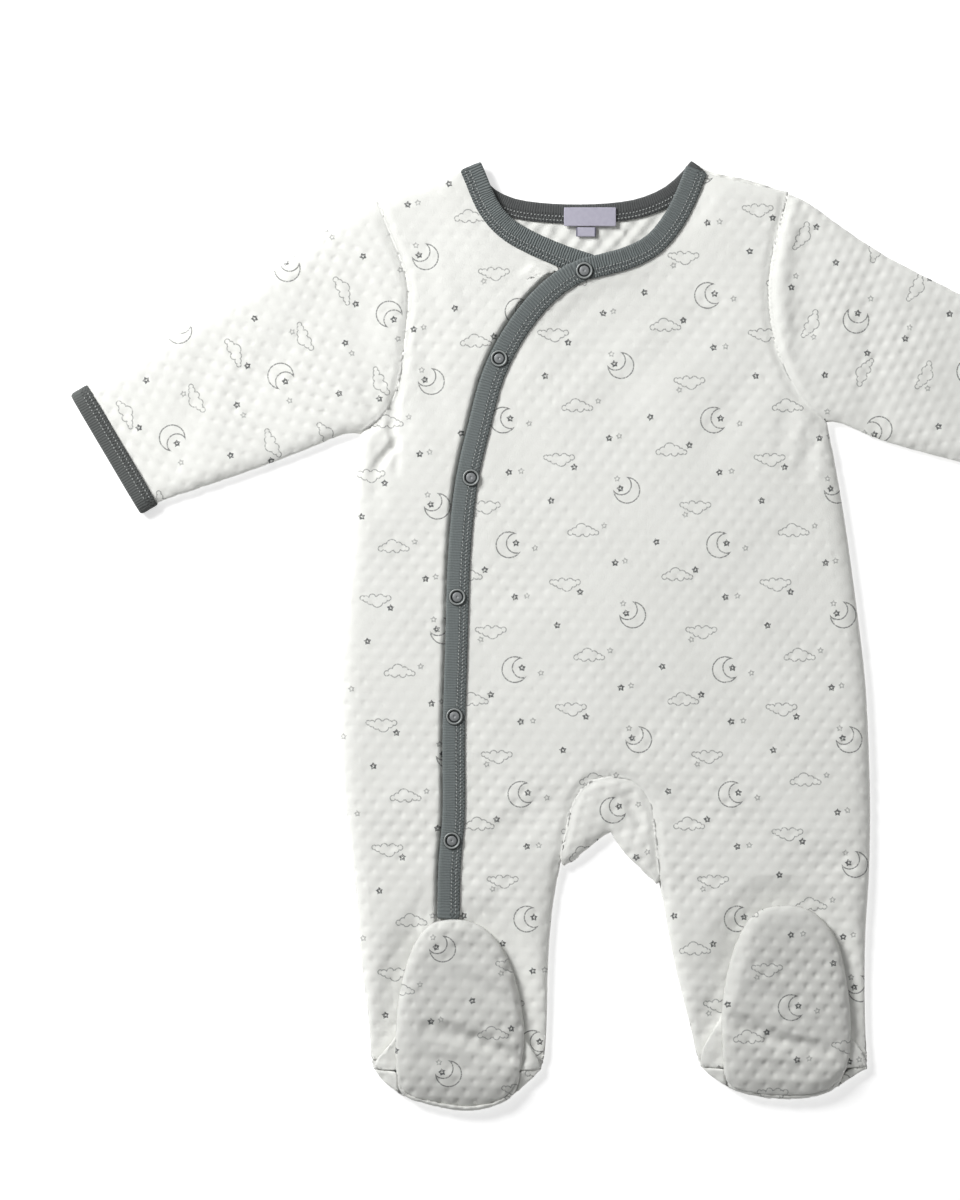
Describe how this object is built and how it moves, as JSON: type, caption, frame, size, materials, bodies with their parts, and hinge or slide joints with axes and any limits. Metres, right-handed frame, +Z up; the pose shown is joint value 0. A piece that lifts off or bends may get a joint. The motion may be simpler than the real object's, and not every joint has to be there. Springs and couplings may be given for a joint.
{
  "type": "footed baby sleepsuit",
  "caption": "Footed baby sleepsuit laid flat and snapped shut: wrap front with rib binding and ring snaps, long cuffed sleeves, crotch gusset, and feet folded up with their soles showing.",
  "frame": {"origin": "on the surface that the garment lies on, under the middle of the chest at armpit height", "axes": "+X to the wearer's left, across the garment from cuff to cuff; +Y along the garment towards the neck; +Z up, out of the chest"},
  "size_m": [0.5606, 0.5124, 0.0115],
  "materials": {
    "quilted_cotton": "soft quilted cotton jersey, white with a fine grey night-sky print",
    "rib_knit": "fine rib knit cotton, slate grey",
    "painted_metal": "painted ring snap, satin, slate grey with lighter rim",
    "woven_label": "woven satin label, lavender grey, bare"
  },
  "bodies": {
    "root": {"back": "quilted_cotton", "front_right": "quilted_cotton", "front_left": "quilted_cotton", "sleeve_right": "quilted_cotton", "cuff_right": "rib_knit", "sleeve_left": "quilted_cotton", "cuff_left": "rib_knit", "gusset": "quilted_cotton", "neck_binding_back": "rib_knit", "neck_binding_right": "rib_knit", "wrap_binding": "rib_knit", "foot_upper_right": "quilted_cotton", "sole_right": "quilted_cotton", "foot_upper_left": "quilted_cotton", "sole_left": "quilted_cotton", "label": "woven_label", "size_tab": "woven_label", "snap_1": "painted_metal", "snap_2": "painted_metal", "snap_3": "painted_metal", "snap_4": "painted_metal", "snap_5": "painted_metal", "snap_6": "painted_metal", "snap_post_1": "painted_metal", "snap_post_2": "painted_metal", "snap_post_3": "painted_metal", "snap_post_4": "painted_metal", "snap_post_5": "painted_metal", "snap_post_6": "painted_metal"}
  },
  "joints": []
}
